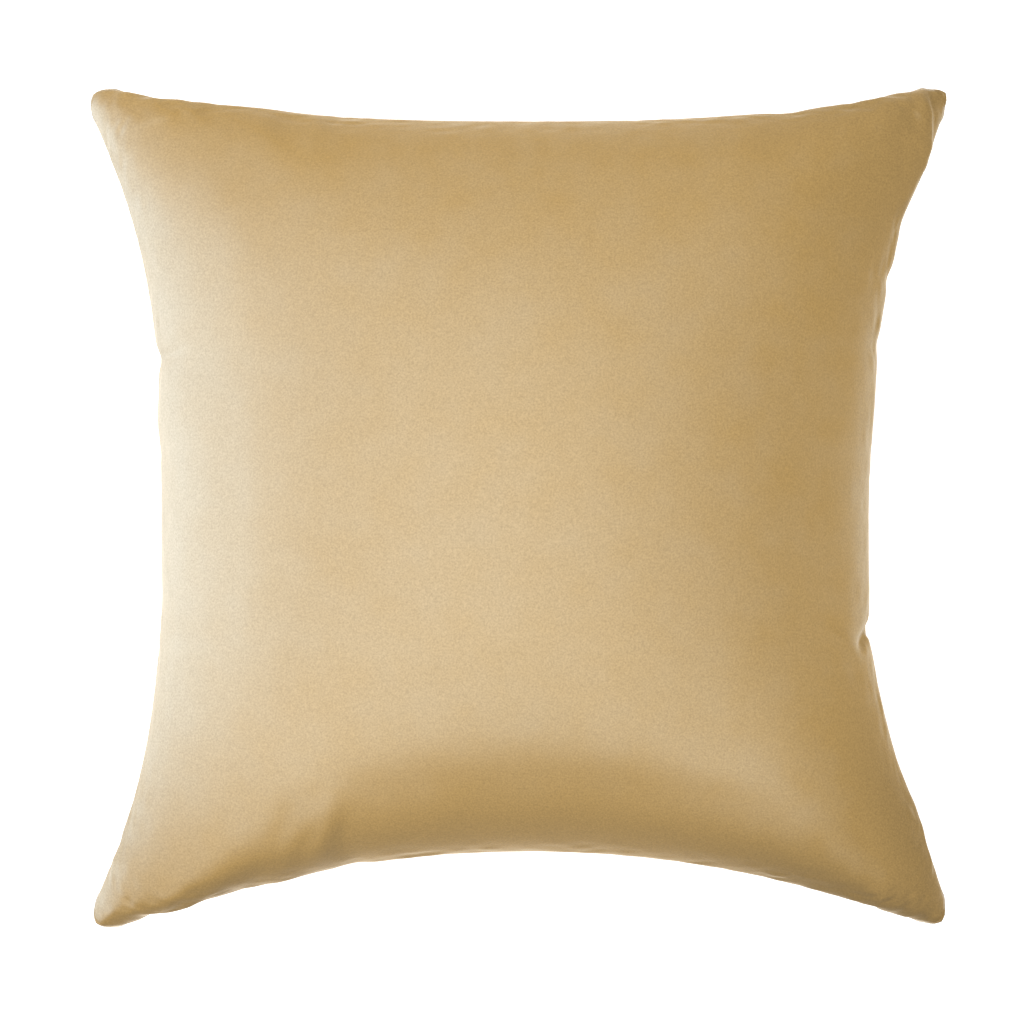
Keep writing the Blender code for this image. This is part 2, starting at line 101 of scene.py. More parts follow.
# %% One curve for each side
# pull: how far its middle comes in. power: 2 is an arc, more is flatter in the middle.
# over: how far the curve runs on past the tips. shift: where its middle is.
# dips: place along the side, depth and half width of each small pinch.
SIDES = {
    "bottom": dict(
        pull=0.0453, power=2.05, over=0.0099, shift=0.0059,
        dips=[
            (-0.245, 0.0018, 0.012), (-0.194, -0.0014, 0.009),
            (-0.137, -0.0012, 0.012), (-0.095, 0.0015, 0.006),
        ],
    ),
    "right": dict(
        pull=0.0450, power=2.45, over=0.0259, shift=0.0022,
        dips=[
            (-0.243, 0.0034, 0.016), (-0.178, -0.0030, 0.022),
            (-0.085, 0.0018, 0.035), (-0.0715, 0.0020, 0.010),
            (0.060, -0.0019, 0.040), (0.096, 0.0014, 0.005), (0.134, 0.0016, 0.005),
            (0.168, 0.0017, 0.012), (0.200, -0.0015, 0.012), (0.240, 0.0016, 0.012),
        ],
    ),
    "top": dict(
        pull=0.0194, power=2.58, over=0.0032, shift=0.0063,
        dips=[
            (-0.211, 0.0015, 0.008), (-0.150, -0.0011, 0.020),
            (0.158, 0.0014, 0.012), (0.230, -0.0020, 0.024),
        ],
    ),
    "left": dict(
        pull=0.0413, power=2.99, over=0.0297, shift=-0.0021,
        dips=[(-0.055, 0.0010, 0.020), (0.052, -0.0015, 0.014), (0.087, 0.0026, 0.006)],
    ),
}


def side_curve(name, count=1500):
    """Points of one side, with sharp corners, in the direction of travel round the pillow."""
    side = SIDES[name]
    upright = name in ("left", "right")
    reach = (HALF_HEIGHT if upright else HALF_WIDTH) + side["over"]
    share = np.linspace(-1, 1, count)
    along = share * reach + side["shift"]
    turn = STRAIGHT_FROM / reach
    past = np.maximum(np.abs(share) - turn, 0)
    power = side["power"]
    rise = 1 - (np.abs(share) - past) ** power - past * power * turn ** (power - 1)
    inset = (side["pull"] + side["over"]) * rise - side["over"]
    for place, depth, width in side["dips"]:
        inset = inset + depth * np.exp(-((along - place) / width) ** 2)
    if name == "bottom":
        return np.column_stack([along, inset - HALF_HEIGHT])
    if name == "right":
        return np.column_stack([HALF_WIDTH - inset, along])
    if name == "top":
        return np.column_stack([along, HALF_HEIGHT - inset])[::-1]
    return np.column_stack([inset - HALF_WIDTH, along])[::-1]


def inward(points):
    """Unit normals to the left of the direction of travel, which is into the pillow."""
    step = np.gradient(points, axis=0)
    step = step / np.linalg.norm(step, axis=1)[:, None]
    return np.column_stack([-step[:, 1], step[:, 0]])


def tip(arriving, leaving, radius):
    """The circle that touches both sides of a corner: where each is left, and the arc's points."""
    a = arriving + radius * inward(arriving)
    b = leaving + radius * inward(leaving)
    far = len(a) * 3 // 4
    near = len(b) // 4
    gaps = np.linalg.norm(a[far:, None] - b[None, :near], axis=2)
    i, j = np.unravel_index(np.argmin(gaps), gaps.shape)
    i += far
    centre = (a[i] + b[j]) / 2
    start, end = (math.atan2(*(p - centre)[::-1]) for p in (arriving[i], leaving[j]))
    angles = np.linspace(start, start + (end - start) % (2 * math.pi), 41)
    return i, j, centre + radius * np.column_stack([np.cos(angles), np.sin(angles)])


TRAVEL = ["bottom", "right", "top", "left"]
curves = {name: side_curve(name) for name in TRAVEL}
tips = {
    name: tip(curves[name], curves[TRAVEL[(k + 1) % 4]], TIP_RADII[name])
    for k, name in enumerate(TRAVEL)
}


def whole_side(name):
    """One side from the middle of its first tip to the middle of its last."""
    before = tips[TRAVEL[TRAVEL.index(name) - 1]]
    after = tips[name]
    return np.vstack([before[2][20:-1], curves[name][before[1] : after[0]], after[2][:21]])


outline = {name: whole_side(name) for name in TRAVEL}
corner_points = np.array([outline[name][0] for name in TRAVEL])
print("tips in mm:", np.round(corner_points * 1000, 1).tolist())

# %% [markdown]
# ## The seam
#
# The panels bulge past the seam that joins them, so the seam lies in a shallow groove. Along
# the zip it lies 5 mm deep on the CAD's arc; elsewhere it is shallower, and at the tips, where
# there is hardly any filling, it is the edge itself.

# %% Set the seam in from the outline
GROOVE = {"bottom": 0.0050, "right": 0.0022, "top": 0.0018, "left": 0.0022}
TIP_GROOVE = 0.0005
FLARE = 0.050  # the groove deepens over this length from a tip
ZIP_BLEND = 0.03  # past the zip the seam leaves the arc over this length


def smooth(t):
    t = np.clip(t, 0.0, 1.0)
    return t * t * (3 - 2 * t)


def tip_distance(points):
    return np.min(np.linalg.norm(points[:, None] - corner_points[None], axis=2), axis=1)


def groove_depth(name, points):
    return TIP_GROOVE + (GROOVE[name] - TIP_GROOVE) * smooth(tip_distance(points) / FLARE)


def onto_zip_arc(points):
    """Brings the bottom seam onto the arc that the slider runs along."""
    x, y = points[:, 0], points[:, 1]
    arc = SEAM_ARC_Y + np.sqrt(SEAM_ARC_RADIUS ** 2 - x ** 2)
    hold = 1 - smooth((np.abs(x) - ZIP_REACH) / ZIP_BLEND)
    return np.column_stack([x, y + (arc - y) * hold])


def seam_line(name):
    points = outline[name]
    points = points + groove_depth(name, points)[:, None] * inward(points)
    if name == "bottom":
        points = onto_zip_arc(points)
    return points if name in ("bottom", "right") else points[::-1]


def by_length(points):
    """Shares from -1 to 1 of the length along a line."""
    steps = np.linalg.norm(np.diff(points, axis=0), axis=1)
    length = np.concatenate([[0], np.cumsum(steps)])
    return 2 * length / length[-1] - 1


seams = {name: seam_line(name) for name in TRAVEL}
for first, second, a, b in (
    ("bottom", "left", 0, 0), ("bottom", "right", -1, 0),
    ("top", "left", 0, -1), ("top", "right", -1, -1),
):
    seams[first][a] = seams[second][b] = (seams[first][a] + seams[second][b]) / 2
seam_shares = {name: by_length(seams[name]) for name in TRAVEL}
print("seam's points for each side:", {name: len(seams[name]) for name in TRAVEL})


def on_seam(name, t):
    line = seams[name]
    return np.column_stack([np.interp(t, seam_shares[name], line[:, k]) for k in (0, 1)])


def inside_seam(u, v):
    """A Coons patch: spreads the points u, v, each from -1 to 1, over the seam's outline."""
    a, b = ((1 + w) / 2 for w in (u, v))
    a, b = a[:, None], b[:, None]
    between = on_seam("bottom", u) * (1 - b) + on_seam("top", u) * b
    between = between + on_seam("left", v) * (1 - a) + on_seam("right", v) * a
    low = seams["bottom"][0] * (1 - a) + seams["bottom"][-1] * a
    high = seams["top"][0] * (1 - a) + seams["top"][-1] * a
    return between - low * (1 - b) - high * b


# %% [markdown]
# ## Cutting and filling the cover
#
# A real cover is cut flat, sewn, and blown up by the insert. Here two grids take the seam's
# outline and are domed by a formula to most of their loft, so that Cloth with pressure has only
# the last part to fill. They are joined at the seam, which is pinned, as a sewn edge hardly
# stretches. Close to the seam the cloth is let out a little, as a real panel is fuller there;
# the puckers that show are pressed in further on.

# %% Two grids, joined along the seam
CELLS = 108
START_LOFT = 0.92  # the share of the loft that the formula gives
LIP_ROWS = 2  # these rows of the bottom edge are the lips beside the zip
LIP_HEIGHT = 0.004
LIP_END, LIP_FADE = 0.93, 0.08  # where the lips end along the bottom, as shares of its half
BULGE_RISE = 0.010  # above the lips the bulge grows over this height
BULGE_TOP, BULGE_FALL = 0.030, 0.050  # and from here up it fades
BULGE_FROM, BULGE_OVER = 0.6, 0.3  # and it belongs to the outer part of the panel
random = np.random.default_rng(7)


def only(obj):
    """Selects one object alone and makes it active."""
    for other in list(bpy.context.selected_objects):
        other.select_set(False)
    obj.select_set(True)
    bpy.context.view_layer.objects.active = obj


def points_of(obj):
    co = np.zeros(len(obj.data.vertices) * 3)
    obj.data.vertices.foreach_get("co", co)
    return co.reshape(-1, 3)


def place_points(obj, co):
    obj.data.vertices.foreach_set("co", np.ascontiguousarray(co, dtype=np.float32).ravel())
    obj.data.update()


def note(obj, name, values):
    """Keeps a number for each vertex."""
    made = obj.data.attributes.get(name) or obj.data.attributes.new(name, "FLOAT", "POINT")
    made.data.foreach_set("value", np.ascontiguousarray(values, dtype=np.float32))


def noted(obj, name):
    values = np.zeros(len(obj.data.vertices), np.float32)
    obj.data.attributes[name].data.foreach_get("value", values)
    return values.astype(float)


def spread(w, other):
    """Sine spacing keeps the rows even up the steep sides; along an edge the spacing is plain."""
    near_edge = np.abs(other) ** 4
    return np.sin(np.pi / 2 * w) * (1 - near_edge) + w * near_edge


def bulge(plan, u, v, height):
    """How far each point goes out past the seam: nothing at the lips, most 15 to 30 mm up."""
    rising = smooth((height - LIP_HEIGHT) / BULGE_RISE)
    up_the_side = rising * (1 - smooth((height - BULGE_TOP) / BULGE_FALL))
    push = np.zeros_like(plan)
    for name, closeness, t, out in (
        ("bottom", -v, u, (0, -1)), ("top", v, u, (0, 1)),
        ("left", -u, v, (-1, 0)), ("right", u, v, (1, 0)),
    ):
        axis = 0 if name in ("bottom", "top") else 1
        line = outline[name][np.argsort(outline[name][:, axis])]
        seam = on_seam(name, t)
        edge = np.interp(seam[:, axis], line[:, axis], line[:, 1 - axis])
        gap = np.abs(edge - seam[:, 1 - axis]) * smooth((closeness - BULGE_FROM) / BULGE_OVER)
        push += (gap * up_the_side)[:, None] * np.array(out)
    return push


def cut_panel(name, side, loft):
    """One panel as a grid over the seam's outline, domed to nearly its full loft."""
    bpy.ops.object.select_all(action="DESELECT")
    bpy.ops.mesh.primitive_grid_add(x_subdivisions=CELLS, y_subdivisions=CELLS, size=2)
    panel = bpy.context.object
    panel.name = name
    flat = points_of(panel)
    across, up = flat[:, 0], flat[:, 1]
    u, v = spread(across, up), spread(up, across)
    dome = np.sqrt(np.clip((1 - u ** 2) * (1 - v ** 2), 0, 1))
    height = START_LOFT * loft * dome
    rows = (1 + up) * CELLS / 2
    lip = (rows < LIP_ROWS + 0.5) * smooth((LIP_END - np.abs(across)) / LIP_FADE)
    height = height * (1 - lip) + LIP_HEIGHT * rows / LIP_ROWS * lip
    v = v * (1 - lip) - lip
    plan = inside_seam(u, v)
    plan += bulge(plan, u, v, height)
    co = np.column_stack([plan, SEAM_PLANE + side * height])
    place_points(panel, co)
    note(panel, "across", across)
    note(panel, "up", up)
    kind = panel.data.attributes.new("panel", "INT", "FACE")
    kind.data.foreach_set("value", [side] * len(panel.data.polygons))
    if side < 0:
        panel.data.flip_normals()
    return panel


front = cut_panel("front_cut", 1, FRONT_LOFT)
back = cut_panel("back_cut", -1, BACK_LOFT)
only(front)
back.select_set(True)
bpy.ops.object.join()
bag = bpy.context.object
bag.name = "cover_bag"
bpy.ops.object.mode_set(mode="EDIT")
bpy.ops.mesh.select_all(action="SELECT")
bpy.ops.mesh.remove_doubles(threshold=1e-5)
bpy.ops.object.mode_set(mode="OBJECT")
print("bag:", len(bag.data.vertices), "vertices")

# %% Fill it with Cloth
PRESSURE = 60.0
FRAMES = 24
EXTRA_CLOTH = -0.035  # a shrink below zero lets the cloth out
EXTRA_ROWS = 7.0  # it fades over this many rows from the seam
JITTER = 0.0004  # starts the ripples, which a perfectly even grid wouldn't
PINNED_END = 0.9  # the lips are pinned as far as this share of the bottom's half


def weight_group(obj, name, weights):
    group = obj.vertex_groups.new(name=name)
    for k, w in enumerate(weights):
        if w > 0.001:
            group.add([k], float(min(w, 1.0)), "REPLACE")


def seam_rows(obj):
    """How many rows of the grid each vertex lies from the seam."""
    edge = np.maximum(np.abs(noted(obj, "across")), np.abs(noted(obj, "up")))
    return (1 - edge) * CELLS / 2


def fill_with_cloth(obj):
    rows = seam_rows(obj)
    lips = (noted(obj, "up") < -0.9) & (rows < LIP_ROWS + 0.5)
    pinned = (rows < 0.5) | (lips & (np.abs(noted(obj, "across")) < PINNED_END))
    weight_group(obj, "seam", pinned.astype(float))
    co = points_of(obj)
    weight_group(obj, "loose", np.exp(-rows / EXTRA_ROWS))
    jitter = random.normal(0, JITTER, co.shape) * (~pinned)[:, None]
    place_points(obj, co + jitter)
    cloth = obj.modifiers.new("fill", "CLOTH")
    made = cloth.settings
    made.quality = 7
    made.mass = 0.02
    made.tension_stiffness = 18
    made.compression_stiffness = 18
    made.shear_stiffness = 6
    made.bending_stiffness = 1.2
    made.vertex_group_mass = "seam"
    made.vertex_group_shrink = "loose"
    made.shrink_min = 0.0
    made.shrink_max = EXTRA_CLOTH
    made.use_pressure = True
    made.uniform_pressure_force = PRESSURE
    made.effector_weights.gravity = 0
    cloth.collision_settings.use_collision = False
    cloth.point_cache.frame_end = FRAMES
    for frame_number in range(1, FRAMES + 1):
        bpy.context.scene.frame_set(frame_number)
    bpy.context.view_layer.update()
    only(obj)
    bpy.ops.object.modifier_apply(modifier="fill")
    moved = 1000 * np.linalg.norm(points_of(obj) - co, axis=1)
    print("cloth moved, mean and most in mm:", round(moved.mean(), 1), round(moved.max(), 1))


fill_with_cloth(bag)
co = points_of(bag)
print("bag box in mm:", np.round(co.min(0) * 1000, 1), np.round(co.max(0) * 1000, 1))

# %% [markdown]
# ## Shaping after the filling
#
# Cloth never ends exactly where it should, so four things follow. The middle of each panel is
# smoothed, since full cloth has no ripples there. Each panel is scaled to its loft. Each side is
# eased out or in until its front just reaches the outline, with the back a hair inside it. And
# the back is pressed flat where the pillow lies on the floor. The easing runs once more after
# the folds and the puckers, because they move the edge a little.

# %% Loft, outline and resting place
CALM_FROM, CALM_OVER = 6, 14  # rows from the seam over which the smoothing sets in
FLOOR_SOFTNESS = 0.005
BIN = 0.004  # the stations along a side lie this far apart
BACK_INSET = 0.0004
EASED_BAND = 0.045  # cloth this far inside the edge stays where it is
EASED_ROWS = 3  # the easing sets in over these rows from the seam, but near a tip it's whole
WHOLE_TIP, WHOLE_FADE = 0.02, 0.04
CAP_SLOPE = 0.1  # the easing is at most this share of the distance from the tip
TIP_HELD, TIP_FREED = 0.006, 0.014  # a tip itself doesn't move
CLAMP_FROM, CLAMP_OVER = 0.012, 0.010  # away from the tips nothing may pass the outline
ZIP_MARGIN = 0.008
LIP_FREED = 0.006  # the lips beside the zip don't move; above them the easing comes back


def set_loft(obj):
    co = points_of(obj)
    height = co[:, 2] - SEAM_PLANE
    of_front, of_back = height * FRONT_LOFT / height.max(), height * BACK_LOFT / -height.min()
    height = np.where(height > 0, of_front, of_back)
    place_points(obj, np.column_stack([co[:, :2], SEAM_PLANE + height]))


def ease_side(obj, name):
    """Moves a side out or in until the front reaches the outline; the back keeps just inside it."""
    axis, out_axis = (0, 1) if name in ("bottom", "top") else (1, 0)
    sign = 1 if name in ("top", "right") else -1
    co = points_of(obj)
    rows = seam_rows(obj)
    height = np.abs(co[:, 2] - SEAM_PLANE)
    line = outline[name][np.argsort(outline[name][:, axis])]
    stations = np.arange(line[0, axis], line[-1, axis], BIN)
    along, out = co[:, axis], sign * co[:, out_axis]
    short = np.interp(along, line[:, axis], sign * line[:, out_axis]) - out
    front = (co[:, 2] > SEAM_PLANE) & (rows > 0.5)
    bulging = front & (rows > LIP_ROWS + 1)
    near = (bulging & (np.abs(along - s) < BIN) for s in stations)
    found = np.array([short[some].min(initial=1) for some in near])
    found = np.pad(np.where(found < 1, found, 0), 1, "edge")
    found = np.convolve(found, [0.25, 0.5, 0.25], "valid")
    from_tip = tip_distance(co[:, :2])
    gap = np.minimum(np.interp(along, stations, found), CAP_SLOPE * from_tip)
    by_tip = 1 - smooth((from_tip - WHOLE_TIP) / WHOLE_FADE)
    weight = smooth(1 - (short - gap) / EASED_BAND) * np.maximum(smooth(rows / EASED_ROWS), by_tip)
    weight = weight * smooth((from_tip - TIP_HELD) / TIP_FREED)
    if name == "bottom":
        beside_zip = smooth((ZIP_REACH + ZIP_MARGIN - np.abs(co[:, 0])) / ZIP_MARGIN)
        weight = weight * (1 - beside_zip * (1 - smooth((height - LIP_HEIGHT) / LIP_FREED)))
    move = gap * weight
    beyond = np.maximum(move - short + np.where(front, 0, BACK_INSET), 0)
    co[:, out_axis] += sign * (move - beyond * smooth((from_tip - CLAMP_FROM) / CLAMP_OVER))
    place_points(obj, co)
    print(name, "eased by up to", round(1000 * np.abs(gap).max(), 1), "mm")


def calm(obj):
    """Smooths the middle of each panel, where full cloth has no ripples."""
    weight_group(obj, "calm", smooth((seam_rows(obj) - CALM_FROM) / CALM_OVER))
    only(obj)
    step = obj.modifiers.new("calm", "SMOOTH")
    step.factor = 0.5
    step.iterations = 20
    step.vertex_group = "calm"
    bpy.ops.object.modifier_apply(modifier="calm")


def rest_on_floor(obj):
    """Presses what would lie below the floor up onto it, with a soft bend where it begins."""
    co = points_of(obj)
    z, h = co[:, 2], FLOOR_SOFTNESS
    pressed = np.where(z < -h, 0.0, np.where(z > h, z, (z + h) ** 2 / (4 * h)))
    place_points(obj, np.column_stack([co[:, :2], pressed]))


calm(bag)
set_loft(bag)
for name in TRAVEL:
    ease_side(bag, name)
rest_on_floor(bag)

# %% [markdown]
# ## The insert
#
# The insert is a plain cotton bag full of fibre, a little smaller than the cover. It has the
# same filled shape, so a copy of the filled bag is drawn in: towards the middle on the plan, so
# that it keeps clear of the zip, and by the thickness of the velvet in height.

# %% A smaller copy of the filled bag
INSERT_SHARE = 0.925
INSERT_DROP = 0.0030
COTTON_THICKNESS = 0.0006
FILL_SHARE = 0.985
FILL_DROP = 0.0012


def smaller_copy(obj, name, share, drop):
    only(obj)
    bpy.ops.object.duplicate()
    copy = bpy.context.object
    copy.name = copy.data.name = name
    co = points_of(copy)
    height = co[:, 2] - SEAM_PLANE
    drawn_in = np.sign(height) * np.maximum(np.abs(height) - drop, 0.02 * np.abs(height))
    place_points(copy, np.column_stack([co[:, :2] * share, SEAM_PLANE + drawn_in]))
    return copy


insert_bag = smaller_copy(bag, "insert_bag", INSERT_SHARE, INSERT_DROP)
fill = smaller_copy(insert_bag, "fibre_fill", FILL_SHARE, FILL_DROP)
print("insert's width in mm:", round(1000 * np.ptp(points_of(insert_bag)[:, 0]), 1))

# %% Smooth the grid once, keeping the seam sharp
def finer(obj):
    rows = seam_rows(obj)
    crease = obj.data.attributes.new("crease_edge", "FLOAT", "EDGE")
    ends = np.zeros(len(obj.data.edges) * 2, int)
    obj.data.edges.foreach_get("vertices", ends)
    on_the_seam = (rows[ends.reshape(-1, 2)] < 0.5).all(axis=1)
    crease.data.foreach_set("value", on_the_seam.astype(np.float32))
    only(obj)
    step = obj.modifiers.new("finer", "SUBSURF")
    step.levels = step.render_levels = 1
    bpy.ops.object.modifier_apply(modifier="finer")


finer(bag)
print("bag:", len(bag.data.polygons), "faces")

# %% [markdown]
# ## Folds and puckers
#
# A few folds are the cushion's own: a crease beside its upper right tip, a pinch in its right
# side, and soft folds over the lower left seam. They are pressed in as with a sculpting
# brush: each fold is a line on the plan, and pushes the cloth along its normal. Small puckers of
# random depth then line the seams, where a real panel gathers between its stitches.

# %% Press the folds in
# start and end on the plan in mm, height in mm (below zero is a valley), and half width in mm
# to the left and to the right of the line
FOLDS = [
    ((238.0, 243.5), (239.0, 228.0), 1.8, (1.4, 7.0)),
    ((239.0, 231.0), (234.5, 198.0), 2.0, (1.6, 7.0)),
    ((234.5, 201.0), (222.0, 168.0), 1.6, (2.2, 8.0)),
    ((206.0, -67.0), (198.0, -80.0), -3.4, (2.6, 2.6)),
    ((182.0, -72.0), (198.0, -84.0), 2.2, (4.5, 3.0)),
    ((186.0, -87.0), (206.0, -106.0), -1.0, (6.0, 6.0)),
    ((-210.0, 87.0), (-194.0, 91.0), -1.3, (3.0, 3.0)),
    ((-180.0, 236.0), (-218.0, 221.0), 0.9, (2.5, 5.0)),
    ((-106.0, -163.0), (-118.0, -206.0), 1.0, (6.0, 8.0)),
    ((-131.0, -168.0), (-140.0, -200.0), -0.7, (7.0, 7.0)),
    ((-98.0, -178.0), (-106.0, -204.0), -0.8, (6.0, 5.0)),
    ((-116.0, -184.0), (-130.0, -206.0), -0.5, (5.0, 5.0)),
]


def press_fold(co, normals, start, end, height, widths):
    a, b = np.array(start) / 1000, np.array(end) / 1000
    run, reach = b - a, co[:, :2] - a
    along = np.clip(reach @ run / (run @ run), 0, 1)
    distance = np.linalg.norm(reach - along[:, None] * run, axis=1)
    on_left = run[0] * reach[:, 1] - run[1] * reach[:, 0] > 0
    width = np.where(on_left, widths[0], widths[1])
    strength = np.exp(-((distance * 1000 / width) ** 2)) * np.sin(np.pi * (0.12 + 0.76 * along))
    strength = strength * (co[:, 2] > SEAM_PLANE)
    return normals * (strength * height / 1000)[:, None]


def normals_of(obj):
    normals = np.zeros(len(obj.data.vertices) * 3, np.float32)
    obj.data.vertices.foreach_get("normal", normals)
    return normals.reshape(-1, 3)


def press_folds(obj):
    co, normals = points_of(obj), normals_of(obj)
    place_points(obj, co + sum(press_fold(co, normals, *fold) for fold in FOLDS))


press_folds(bag)
print(len(FOLDS), "folds pressed in")

# %% Pucker the cloth beside the seam
# side: deepest pucker in mm, and how many knots of random height lie along the side
PUCKERS = {"bottom": (0.5, 48), "right": (0.5, 44), "top": (0.5, 50), "left": (0.5, 44)}
LOWER_LEFT_BOOST = 2.0  # the bottom seam is gathered more here than elsewhere
BOOST_MIDDLE, BOOST_WIDTH = 0.62, 0.2  # as shares of the bottom's half
PUCKER_ROWS = 6.0
NEAR_TIP, TIP_SHARE = 0.8, 0.4  # past this share of a side its puckers are this much lower


def pucker(obj, name):
    depth, knots = PUCKERS[name]
    across, up = noted(obj, "across"), noted(obj, "up")
    t = across if name in ("bottom", "top") else up
    from_side = {"bottom": 1 + up, "top": 1 - up, "left": 1 + across, "right": 1 - across}[name]
    rows = from_side * CELLS / 2
    knot = np.linspace(-1, 1, knots)
    height = random.uniform(-1, 0.3, knots)
    height[np.abs(knot) > NEAR_TIP] *= TIP_SHARE
    if name == "bottom":
        height *= 1 + LOWER_LEFT_BOOST * np.exp(-(((knot + BOOST_MIDDLE) / BOOST_WIDTH) ** 2))
    wave = np.interp(t, knot, height)
    step = 0.6 / knots
    beside = np.interp(t - step, knot, height) + np.interp(t + step, knot, height)
    for _ in range(2):
        wave = 0.5 * wave + 0.25 * beside
    fade = np.exp(-((rows / PUCKER_ROWS) ** 2))
    if name == "bottom":
        lip = np.abs(points_of(obj)[:, 0]) < ZIP_REACH
        fade = fade * np.where(lip, smooth((rows - LIP_ROWS) / 2), 1)
    push = depth / 1000 * wave * fade
    place_points(obj, points_of(obj) + normals_of(obj) * push[:, None])


for name in TRAVEL:
    pucker(bag, name)
print(sum(knots for _, knots in PUCKERS.values()), "knots of random height along the seams")
for name in TRAVEL:
    ease_side(bag, name)

# %% [markdown]
# ## Two panels with a thickness
#
# The bag is parted along its seam into the front and the back panel. Their edges stand
# a hair apart, and beside the zip they part by the width of its slit, so that the zip shows
# from below, as it would on such a cover.

# %% Part the panels and give them their thickness
CLOTH_THICKNESS = 0.0015
SEAM_GAP = 0.0003
SLIT_FADE = 0.012  # the angle over which the slit closes past the zip's ends
OPENED_HEIGHT, OPENED_ROWS = 0.004, 3  # only the cloth this close to the seam moves


def part_panel(whole, name, side, thickness):
    only(whole)
    bpy.ops.object.duplicate()
    panel = bpy.context.object
    panel.name = panel.data.name = name
    bm = bmesh.new()
    bm.from_mesh(panel.data)
    layer = bm.faces.layers.int["panel"]
    bmesh.ops.delete(bm, geom=[f for f in bm.faces if f[layer] != side], context="FACES")
    bm.to_mesh(panel.data)
    bm.free()
    open_seam(panel, side)
    wall = panel.modifiers.new("thickness", "SOLIDIFY")
    wall.thickness = thickness
    wall.offset = -1
    bpy.ops.object.modifier_apply(modifier="thickness")
    bpy.ops.object.shade_smooth()
    return panel


def open_seam(panel, side):
    """Moves the edge off the seam's plane: by half the slit beside the zip, by a hair elsewhere."""
    co = points_of(panel)
    angle = np.arctan2(co[:, 0], co[:, 1] - SEAM_ARC_Y)
    beside_zip = smooth((ZIP_HALF_ANGLE - np.abs(angle)) / SLIT_FADE + 1) * (co[:, 1] < 0)
    beside_zip = beside_zip * (noted(panel, "up") < -0.8)
    opening = SEAM_GAP / 2 + (ZIP_SLIT - SEAM_GAP) / 2 * beside_zip
    near_plane = np.exp(-((np.abs(co[:, 2] - SEAM_PLANE) / OPENED_HEIGHT) ** 2))
    near = near_plane * np.exp(-((seam_rows(panel) / OPENED_ROWS) ** 2))
    co[:, 2] += side * opening * near
    place_points(panel, co)


cover_front = part_panel(bag, "velvet_front", 1, CLOTH_THICKNESS)
cover_back = part_panel(bag, "velvet_back", -1, CLOTH_THICKNESS)
insert_front = part_panel(insert_bag, "cotton_front", 1, COTTON_THICKNESS)
insert_back = part_panel(insert_bag, "cotton_back", -1, COTTON_THICKNESS)
for whole in (bag, insert_bag):
    bpy.data.objects.remove(whole)
only(fill)
bpy.ops.object.shade_smooth()
for piece, node, finish_slot in (
    (cover_front, "cover_front_panel", "velvet"),
    (cover_back, "cover_back_panel", "velvet"),
    (insert_front, "insert_front_panel", "cotton"),
    (insert_back, "insert_back_panel", "cotton"),
    (fill, "insert_fill", "fibre"),
):
    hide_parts(node)
    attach(piece, "pillow")
    print(piece.name, len(piece.data.polygons), "faces")

# %% [markdown]
# ## Velvet
#
# Velvet is a dense pile of short fibres. Seen along the fibres it is deep and dark; where the
# surface turns away, their sides catch the light and it goes pale. The Principled shader's sheen
# gives that. Light and shade from the window at the left are also painted into the colour: four
# colour ramps over the normal make cloth that faces left pale and light, a painted highlight,
# and cloth that faces right or turns down or up darker, a painted shade. Towards the corners the
# colour is also made darker and less pale, most of all at the lower right and hardly at the upper
# left. Noise at the size of the pile and of hand-brushed patches breaks the colour up.

# %% One helper for nodes, and colours from hex
def linear(code):
    """A hex colour as Blender's linear red, green, blue and full alpha."""
    values = [int(code[k : k + 2], 16) / 255 for k in (1, 3, 5)]
    return (*[c / 12.92 if c < 0.04045 else ((c + 0.055) / 1.055) ** 2.4 for c in values], 1.0)


def add(tree, kind, settings=None, inputs=None, stops=()):
    """A node, its settings, and its inputs: a value each, or (node, output name) to link.

    A colour ramp also gets its stops: (place, grey level) each, joined by a smooth curve.
    """
    node = tree.nodes.new(kind)
    for key, value in (settings or {}).items():
        setattr(node, key, value)
    if stops:
        node.color_ramp.interpolation = "CARDINAL"
        for _ in stops[2:]:
            node.color_ramp.elements.new(0.5)
        for element, (place, grey) in zip(node.color_ramp.elements, stops):
            element.position = place
            element.color = (grey, grey, grey, 1)
    for key, value in (inputs or {}).items():
        if isinstance(value, tuple) and isinstance(value[0], bpy.types.Node):
            tree.links.new(value[0].outputs[value[1]], node.inputs[key])
        else:
            node.inputs[key].default_value = value
    return node


def maths(tree, operation, *values, clamp=False):
    """A Math node: each value is a number, or (node, output name) to link."""
    settings = {"operation": operation, "use_clamp": clamp}
    return add(tree, "ShaderNodeMath", settings, dict(enumerate(values)))


def new_material(name, **shader_inputs):
    made = bpy.data.materials.new(name)
    made.use_nodes = True
    shader = made.node_tree.nodes["Principled BSDF"]
    for key, value in shader_inputs.items():
        shader.inputs[key.replace("_", " ")].default_value = value
    return made, made.node_tree, shader


# %% Velvet
# To the eye velvet is deep gold where it faces the viewer and milky where it turns away, with no
# highlight. On top of that, light and shade are painted into the colour by the way the cloth
# faces: cloth that faces left, towards the window, is painted pale, a painted highlight, and
# cloth that faces right, or turns far down or up, keeps the deep colour and is painted darker as
# shade.
VELVET_DEEP = "#AC8C54"
# the pale colour: painted in as light where the cloth faces the window, and shown in the brushed
# patches
VELVET_PALE_BRUSHED_AND_PAINTED_LIGHT = "#B5AD9C"
SHEEN_TINT = "#FFF4E2"
